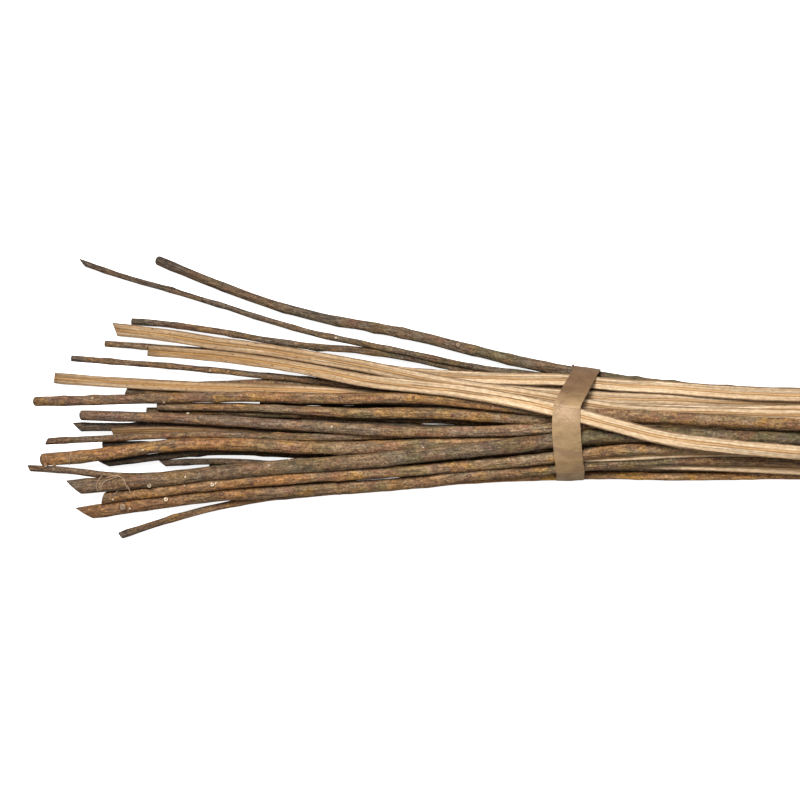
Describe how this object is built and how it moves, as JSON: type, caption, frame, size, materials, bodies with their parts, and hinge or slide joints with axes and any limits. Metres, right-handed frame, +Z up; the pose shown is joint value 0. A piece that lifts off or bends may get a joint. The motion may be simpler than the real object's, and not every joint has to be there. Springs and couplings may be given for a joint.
{
  "type": "bundle of twigs",
  "caption": "Bundle of long cut twigs, round in their bark or split lengthwise to pale wood, spread at one end and held by a strip of brown paper.",
  "frame": {"origin": "middle of the paper band's flat underside, on the surface that the bundle lies on", "axes": "+X along the bundle, towards its closer end; +Y across it; +Z up"},
  "size_m": [0.9544, 0.2564, 0.0619],
  "materials": {
    "bark": "dry matt bark, grey-brown with orange and olive patches",
    "split_wood": "split pale wood, fibrous, with a brown pith line",
    "paper": "plain brown kraft paper, soft sheen"
  },
  "bodies": {
    "root": {"paper_band": "paper", "round_twig_01": "bark", "round_twig_02": "bark", "round_twig_03": "bark", "round_twig_04": "bark", "round_twig_05": "bark", "round_twig_06": "bark", "round_twig_07": "bark", "round_twig_08": "bark", "round_twig_09": "bark", "round_twig_10": "bark", "round_twig_11": "bark", "round_twig_12": "bark", "round_twig_13": "bark", "round_twig_14": "bark", "round_twig_15": "bark", "round_twig_16": "bark", "round_twig_17": "bark", "round_twig_18": "bark", "round_twig_19": "bark", "round_twig_20": "bark", "round_twig_21": "bark", "round_twig_22": "bark", "round_twig_23": "bark", "round_twig_24": "bark", "round_twig_25": "bark", "round_twig_26": "bark", "round_twig_27": "bark", "round_twig_28": "bark", "round_twig_29": "bark", "round_twig_30": "bark", "round_twig_31": "bark", "split_twig_01": "split_wood", "split_twig_02": "split_wood", "split_twig_03": "split_wood", "split_twig_04": "split_wood", "split_twig_05": "split_wood", "split_twig_06": "split_wood", "split_twig_07": "split_wood", "split_twig_08": "split_wood", "split_twig_09": "split_wood", "split_twig_10": "split_wood", "split_twig_11": "split_wood"}
  },
  "joints": []
}
